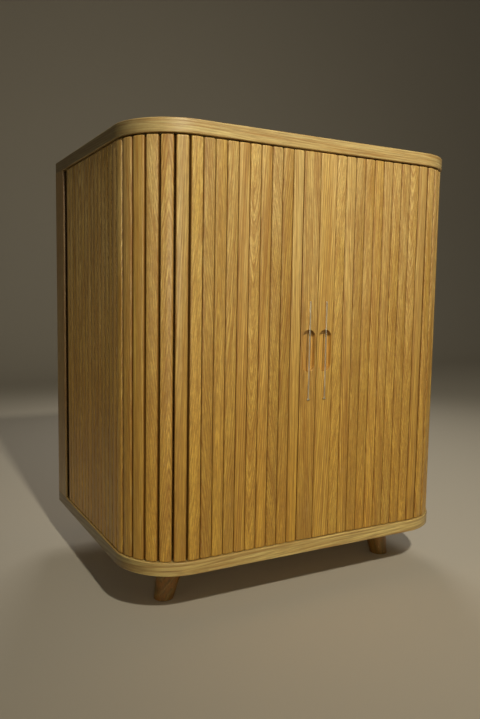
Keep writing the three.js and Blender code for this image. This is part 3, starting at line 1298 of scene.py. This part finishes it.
@dataclass
class Carcass(Maker):
    """The rear posts, the back panel and the inner case with its shelves."""

    post_depth: float = 74 * MM
    post_ease: float = 1.4 * MM
    cove_clearance: float = 2.5 * MM
    rebate: float = 8 * MM
    fit: float = 0.3 * MM
    panel_ease: float = 1.0 * MM
    thin_share: float = 6
    last_share: float = 0.25
    heart_spread: float = 30 * MM
    # The whole post is darker and warmer than the rest of the carcass oak.
    post_tint: Span = (0.22, 0.34)
    # Painted shade: the post's front face is darker still.
    post_front_shade: Span = (0.5, 0.2)
    seed: int = 909

    def build(self) -> None:
        """Makes every fixed piece but the boards and feet."""
        self.dice.seed(self.seed)
        for side in Side:
            self.post(side)
        self.panel("back_panel", Grain.UPRIGHT, 118 * MM)
        self.panel("inner_back", Grain.UPRIGHT, 104 * MM)
        for side in Side:
            self.panel(f"{side.word}_inner_side", Grain.UPRIGHT_SIDE, 96 * MM)
        for height in ("lower", "upper"):
            self.panel(f"{height}_shelf", Grain.WIDE, 92 * MM)
            for side in Side:
                self.panel(f"{height}_{side.word}_cleat", Grain.DEEP, 92 * MM)

    def post(self, side: Side) -> None:
        """Makes one rear post, with the cove that its door turns in.

        Args:
            side: The post's side.
        """
        node = f"{side.word}_rear_stile"
        low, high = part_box(node)
        t = self.track
        front = t.rear_y - self.post_depth
        cove = t.turn_radius + t.curtain + self.cove_clearance
        start = math.asin((front - t.turn_y) / cove)
        panel_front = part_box("back_panel")[0][1] - self.fit
        reach = math.sqrt(cove * cove - (front - t.turn_y) ** 2)
        pen = Pen(t.turn_x + reach, front)
        pen.line(t.half_width, front).line(t.half_width, t.rear_y)
        pen.line(t.turn_x + self.rebate, t.rear_y).line(t.turn_x + self.rebate, panel_front)
        pen.line(t.turn_x, panel_front).line(t.turn_x, t.turn_y + cove)
        pen.arc((t.turn_x, t.turn_y), start - QUARTER, COVE_STEPS)
        bm = pen.raised(low[2], high[2])
        if side is Side.LEFT:
            bmesh.ops.scale(bm, verts=bm.verts, vec=(-1, 1, 1))
            bmesh.ops.reverse_faces(bm, faces=bm.faces)
        end = {v for v in bm.verts if abs(abs(v.co.x) - t.half_width) < TOUCH}
        upright = [e for e in sharp_edges(bm) if not level(e) and end.issuperset(e.verts)]
        ease(bm, upright, self.post_ease)
        tree = Tree.straight(self.dice).retinted(*self.post_tint)
        # Painted shade on the post's front face.
        edge = tree.retinted(*self.post_front_shade)
        chart = Grain.UPRIGHT_SIDE.chart
        stamp_grain(bm, lambda face: (edge if face.normal.y < -LEANING else tree, chart))
        self.shop.piece(f"{node}_oak", bm, Slot.CARCASS, "carcass", [node])

    def panel(self, node: str, grain: Grain, stave: float) -> None:
        """Makes one flat board or panel, glued up from staves.

        Args:
            node: The CAD node, which gives its corners.
            grain: The direction of its grain.
            stave: The width of one stave.
        """
        low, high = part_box(node)
        axis = grain.value[0]
        bm = block(low, high)
        thin = min(high[i] - low[i] for i in range(3))
        ease(bm, bm.edges[:], min(self.panel_ease, thin / self.thin_share), 2)
        joint = low[axis] + stave
        while joint < high[axis] - stave * self.last_share:
            split(bm, axis, joint)
            joint += stave
        count = int((high[axis] - low[axis]) / stave) + 1
        trees = [Tree.crown_cut(self.dice, self.heart_spread) for _ in range(count)]

        def choose(face: BMFace) -> tuple[Tree, Chart]:
            """Gives each stave its own tree, measured from its middle."""
            index = min(int((face.calc_center_median()[axis] - low[axis]) / stave), count - 1)
            middle = Vector(low)
            middle[axis] += (index + 0.5) * stave
            return trees[index], lambda co: grain.chart(co - middle)

        stamp_grain(bm, choose)
        self.shop.piece(f"{node}_oak", bm, Slot.INNER, "carcass", [node])


@dataclass
class Feet(Maker):
    """The four turned feet, which lean out sideways."""

    height: float = 96.5 * MM
    inset: float = 131 * MM
    setback: float = 127 * MM
    top_radius: float = 30 * MM
    sole_radius: float = 21 * MM
    sole_ease: float = 2 * MM
    splay: float = math.radians(13.5)
    segments: int = 56
    heart_spread: float = 26 * MM
    seed: int = 33

    def build(self) -> None:
        """Makes the four feet."""
        self.dice.seed(self.seed)
        t = self.track
        for side in Side:
            for row, y in (("front", t.front_y + self.setback), ("rear", t.rear_y - self.setback)):
                self.foot(f"{row}_{side.word}_foot", side, y)

    def foot(self, node: str, side: Side, y: float) -> None:
        """Makes one foot.

        Args:
            node: The CAD node.
            side: The side that it leans to.
            y: Its place from front to back.
        """
        bm = bmesh.new()
        middle = Matrix.Translation((0, 0, self.height / 2))
        low, high = self.sole_radius, self.top_radius
        size = {"radius1": low, "radius2": high, "depth": self.height, "segments": self.segments}
        bmesh.ops.create_cone(bm, cap_ends=True, matrix=middle, **size)
        sole = [e for e in sharp_edges(bm) if e.verts[0].co.z < self.height / 2]
        ease(bm, sole, self.sole_ease, 4)
        tree = Tree.crown_cut(self.dice, self.heart_spread)
        stamp_grain(bm, lambda _face: (tree, Grain.UPRIGHT.chart))
        lean = Matrix.Identity(4)
        lean[0][2] = -side.value * math.tan(self.splay)
        out = self.track.half_width - self.inset
        shift = side.value * (out + self.height * math.tan(self.splay))
        bm.transform(Matrix.Translation((shift, y, 0)) @ lean)
        self.shop.piece(f"{node}_oak", bm, Slot.FOOT, "carcass", [node])


# The studio


@dataclass(frozen=True)
class Lamp:
    """One square area light: its place, target, side length, watts, colour and spread in degrees."""

    name: str
    place: Triple
    target: Triple
    size: float
    power: float
    colour: Triple
    spread: float = 112

    def hang(self) -> None:
        """Puts the light into the scene."""
        data = bpy.data.lights.new(self.name, "AREA")
        data.shape = "SQUARE"
        data.size = self.size
        data.spread = math.radians(self.spread)
        data.energy = self.power
        data.color = self.colour
        lamp = shown(self.name, data)
        lamp.location = self.place
        ahead = Vector(self.target) - Vector(self.place)
        lamp.rotation_euler = ahead.to_track_quat("-Z", "Y").to_euler()


LAMPS = (
    Lamp("key", (-0.48, -2.30, 2.35), (0.60, -0.3, 1.6), 0.13, 33, (1, 0.96, 0.84)),
    Lamp("fill", (-1.40, -3, 0.8), (-0.4, 0, 0.55), 0.5, 4.2, (1, 0.96, 0.80)),
    Lamp("side", (-2.15, -1.20, 0.62), (-0.40, -0.10, 0.53), 0.3, 0.16, (1, 0.97, 0.82), 44),
    Lamp("glint", (1.95, -3, 0.95), (0, -0.3, 0.6), 1.4, 1.3, (1, 0.95, 0.78)),
    Lamp("back", (1.2, 2.6, 2.3), (0, 0, 0.6), 1.4, 13, (1, 0.97, 0.92)),
)


@dataclass
class Studio:
    """The floor, the lights and the camera."""

    floor_reach: float = 9.0
    floor_front: float = -8.0
    floor_rear: float = 3.4
    wall_bend: float = 2.2
    wall_top: float = 7.0
    haze: Triple = (0.84, 0.80, 0.69)
    haze_strength: float = 0.07
    focal_pixels: float = 678.25
    frame_height: float = 719.0
    sensor: float = 36.0
    clip: Span = (0.05, 60.0)
    eye: Triple = (-0.8214, -1.4668, 0.6492)
    yaw: float = 0.49799
    pitch: float = -0.0976
    roll: float = 0.01591

    def build(self) -> None:
        """Sets the studio up."""
        self.floor()
        self.lights()
        self.camera()

    def floor(self) -> None:
        """Lays the floor, which sweeps up into a plain wall far behind the cabinet."""
        pen = Pen(0.0, self.floor_front).line(0.0, self.floor_rear)
        pen.bend((0.0, self.floor_rear, self.wall_bend), (1, 0, 0), QUARTER, CORNER_STEPS)
        pen.line(*pen.tip.co.xy, self.wall_top)
        bmesh.ops.translate(pen.bm, verts=pen.bm.verts, vec=(-self.floor_reach, 0, 0))
        wide = bmesh.ops.extrude_edge_only(pen.bm, edges=pen.bm.edges[:])["geom"]
        bmesh.ops.translate(pen.bm, verts=verts_in(wide), vec=(2 * self.floor_reach, 0, 0))
        bmesh.ops.recalc_face_normals(pen.bm, faces=pen.bm.faces)
        for face in pen.bm.faces:
            face.smooth = True
        mesh = bpy.data.meshes.new("floor")
        pen.bm.to_mesh(mesh)
        pen.bm.free()
        mesh.materials.append(PaleFloor().build())
        shown("floor", mesh)

    def lights(self) -> None:
        """Hangs the lamps in a faint even light."""
        world = bpy.data.worlds.new("studio")
        world.use_nodes = True
        background = world.node_tree.nodes["Background"]
        background.inputs["Color"].default_value = (*self.haze, 1.0)
        background.inputs["Strength"].default_value = self.haze_strength
        bpy.context.scene.world = world
        bpy.context.scene.view_settings.view_transform = "Standard"
        for lamp in LAMPS:
            lamp.hang()

    def camera(self) -> None:
        """Puts the camera where the photograph was taken from."""
        sin, cos = math.sin(self.yaw), math.cos(self.yaw)
        ahead = Vector((sin * math.cos(self.pitch), cos * math.cos(self.pitch), math.sin(self.pitch)))
        flat = Vector((cos, -sin, 0.0))
        above = flat.cross(ahead)
        right = math.cos(self.roll) * flat + math.sin(self.roll) * above
        up = math.cos(self.roll) * above - math.sin(self.roll) * flat
        data = bpy.data.cameras.new("camera")
        data.sensor_width = self.sensor
        data.lens = self.focal_pixels / self.frame_height * self.sensor
        data.clip_start, data.clip_end = self.clip
        camera = shown("camera", data)
        turned = Matrix((right, up, -ahead)).transposed().to_4x4()
        camera.matrix_world = Matrix.Translation(self.eye) @ turned
        bpy.context.scene.camera = camera


def main() -> None:
    """Builds the cabinet and its studio in order."""
    logging.basicConfig(level=logging.INFO, format="%(name)s: %(message)s")
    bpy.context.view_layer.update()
    # With height the carcass oak turns from a paler colour at the bottom to a darker one at the top; the
    # feet are dark at every height.
    lighter = {"pale": (0.82, 0.66, 0.24), "top_sheen_and_tone": (0.59, 0.475, 0.210), "ochre": (0.50, 0.36, 0.12)}
    dark = (0.080, 0.057, 0.008)
    darker = {"pale": dark, "top_sheen_and_tone": dark, "ochre": (0.080, 0.046, 0.007)}
    finishes = {
        Slot.DOOR.value: Oak("door_oak"),
        Slot.CARCASS.value: Oak("carcass_oak", figure=0.8, **lighter),
        Slot.INNER.value: Oak("inner_oak", figure=0.5),
        Slot.FOOT.value: Oak("foot_oak", **darker),
        Slot.METAL.value: SatinMetal(),
        "backing_canvas": Canvas(),
    }
    shop = Workshop({name: finish.build() for name, finish in finishes.items()})
    board_low, board_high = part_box("top_board")
    track = Track(front_y=board_low[1], rear_y=board_high[1])
    slat_low, slat_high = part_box("left_front_slat_1")
    slat = SlatShape(bottom=slat_low[2], top=slat_high[2])
    for side in Side:
        Tambour(shop, track, slat, side).build()
    Boards(shop, track).build()
    Carcass(shop, track).build()
    Feet(shop, track).build()
    Studio().build()


if __name__ == "__main__":
    main()
